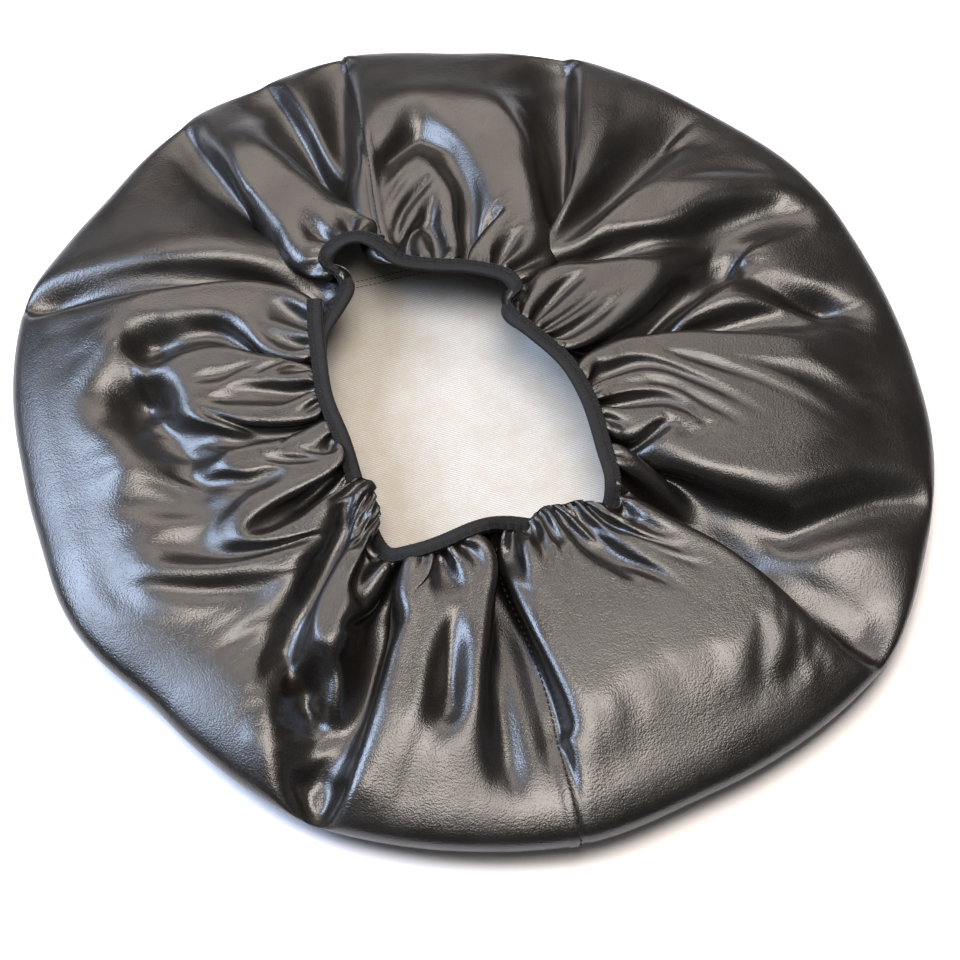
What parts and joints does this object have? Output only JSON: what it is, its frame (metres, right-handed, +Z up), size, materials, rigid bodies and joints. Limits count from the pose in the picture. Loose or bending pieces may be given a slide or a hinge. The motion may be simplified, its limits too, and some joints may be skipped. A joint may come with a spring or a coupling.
{
  "type": "spare tire cover",
  "caption": "Soft round spare tire cover in black faux leather, lying slack with its elasticated, puckered mouth up; knit-backed inside.",
  "frame": {"origin": "middle of the front panel's outer face, which lies on the floor", "axes": "+Z up, out of the front panel towards the mouth; -Y towards the viewer; +X to the right"},
  "size_m": [0.6939, 0.7115, 0.0673],
  "materials": {
    "skin": "semi-gloss grained coating",
    "backing": "matte knit",
    "tape": "woven tape with a slight sheen",
    "elastic": "matte braided cover",
    "thread": "twisted thread"
  },
  "bodies": {
    "cover": {"front_panel_skin": "skin", "front_panel_backing": "backing", "side_band_left_skin": "skin", "side_band_right_skin": "skin", "side_band_left_backing": "backing", "side_band_right_backing": "backing", "perimeter_seam_thread": "thread", "perimeter_second_row_thread": "thread", "front_band_topstitch_thread": "thread", "front_band_seam_thread": "thread", "rear_band_topstitch_thread": "thread", "rear_band_seam_thread": "thread"},
    "mouth_rim": {"mouth_binding_tape": "tape", "mouth_elastic": "elastic", "binding_stitch_thread": "thread", "elastic_join_thread": "thread", "binding_lap_thread": "thread"}
  },
  "joints": [
    {"name": "mouth_lift", "type": "slide", "parent": "cover", "child": "mouth_rim", "axis": [0, 0, 1], "range_m": [0, 0.13]}
  ]
}
